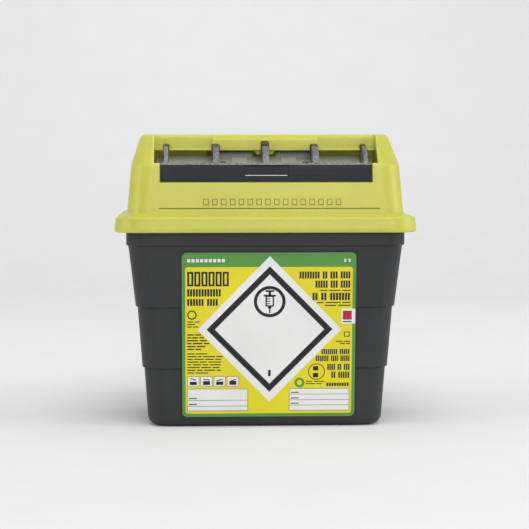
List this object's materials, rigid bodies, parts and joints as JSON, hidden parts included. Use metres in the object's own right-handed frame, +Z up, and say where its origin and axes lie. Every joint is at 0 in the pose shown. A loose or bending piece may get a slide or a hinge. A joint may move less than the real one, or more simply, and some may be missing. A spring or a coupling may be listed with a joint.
{
  "type": "sharps container",
  "caption": "Stepped grey tub with a yellow lid, a slot in the lid's sloping front with a ribbed tray that turns shut, and a label with a diamond on the front",
  "frame": {"origin": "middle of the rectangle that the container covers, at the height of the surface it stands on", "axes": "+Z up, the front with the label and the closure faces -Y, +X to the right seen from the front"},
  "size_m": [0.296, 0.203, 0.2892],
  "materials": {
    "tub_grey": "dark grey polypropylene with a fine moulded grain",
    "lid_yellow": "yellow polypropylene, smooth, half gloss",
    "tray_grey": "light grey polypropylene, smooth",
    "bar_grey": "dark grey polypropylene, smooth",
    "label_film": "printed film label, yellow with a green edge and a white diamond",
    "sticker_paper": "white paper sticker"
  },
  "bodies": {
    "container": {"base_tub": "tub_grey", "lid": "lid_yellow", "front_label": "label_film", "region_sticker": "sticker_paper"},
    "closure": {"closure_tray": "tray_grey", "grip_bar": "bar_grey", "pivot_pin_left": "tray_grey", "pivot_pin_right": "tray_grey"}
  },
  "joints": [
    {"name": "closure_turn", "type": "hinge", "parent": "container", "child": "closure", "pos_m": [0, -0.05204, 0.245], "axis": [-1, 0, 0], "range_deg": [0, 60]}
  ]
}
